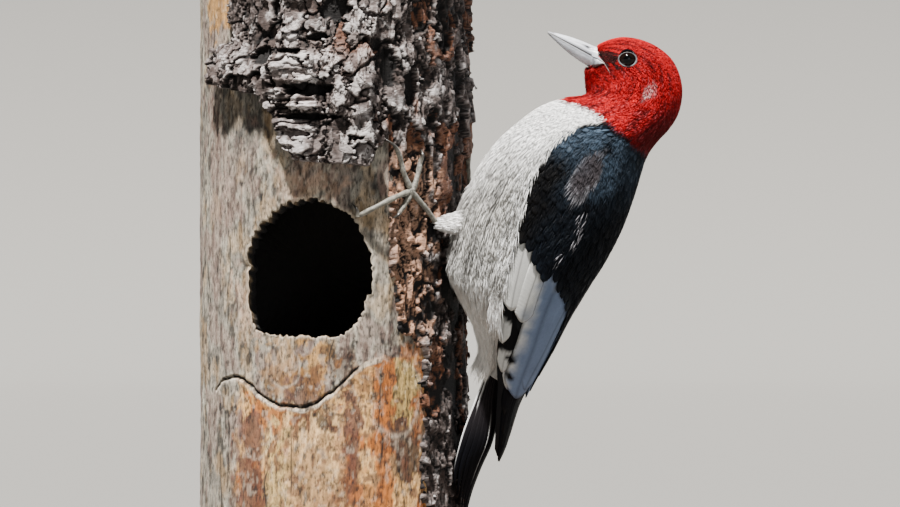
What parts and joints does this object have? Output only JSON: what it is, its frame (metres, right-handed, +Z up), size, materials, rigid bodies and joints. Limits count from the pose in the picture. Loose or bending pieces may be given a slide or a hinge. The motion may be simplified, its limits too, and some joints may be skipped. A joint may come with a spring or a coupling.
{
  "type": "woodpecker",
  "caption": "Still, life-size red-headed woodpecker clinging to a cut length of dead pine trunk with a nest hole, on a plain display stand.",
  "frame": {"origin": "middle of the stand base's underside, on the surface it rests on", "axes": "+Z up the trunk, +X from the trunk towards the bird's back, -Y out of the nest hole and towards the bird's left side; the bill points to -X"},
  "size_m": [0.216, 0.146, 0.272],
  "materials": {
    "red_feathers": "soft feathers, satin",
    "white_feathers": "soft feathers, matt",
    "black_feathers": "smooth feathers with a bluish gloss",
    "bill_horn": "horn, satin, pale blue-grey",
    "eye": "wet gloss",
    "leg_skin": "scaly skin, satin",
    "claw_horn": "dark horn, satin",
    "pine_bark": "weathered dead pine with plates of bark",
    "stand_base": "dark stained hardwood, satin",
    "stand_rod": "brushed"
  },
  "bodies": {
    "root": {"head": "red_feathers", "neck": "red_feathers", "breast": "white_feathers", "belly": "white_feathers", "rump": "white_feathers", "eye_left": "eye", "wing_coverts_left": "black_feathers", "wing_secondaries_left": "white_feathers", "wing_primaries_left": "black_feathers", "thigh_left": "white_feathers", "tarsus_left": "leg_skin", "toe_left_1": "leg_skin", "claw_left_1": "claw_horn", "toe_left_2": "leg_skin", "claw_left_2": "claw_horn", "toe_left_3": "leg_skin", "claw_left_3": "claw_horn", "toe_left_4": "leg_skin", "claw_left_4": "claw_horn", "eye_right": "eye", "wing_coverts_right": "black_feathers", "wing_secondaries_right": "white_feathers", "wing_primaries_right": "black_feathers", "thigh_right": "white_feathers", "tarsus_right": "leg_skin", "toe_right_1": "leg_skin", "claw_right_1": "claw_horn", "toe_right_2": "leg_skin", "claw_right_2": "claw_horn", "toe_right_3": "leg_skin", "claw_right_3": "claw_horn", "toe_right_4": "leg_skin", "claw_right_4": "claw_horn", "tail": "black_feathers", "bill_upper": "bill_horn", "bill_lower": "bill_horn", "perch_trunk": "pine_bark", "stand_base": "stand_base", "stand_rod_1": "stand_rod", "stand_rod_2": "stand_rod"}
  },
  "joints": []
}
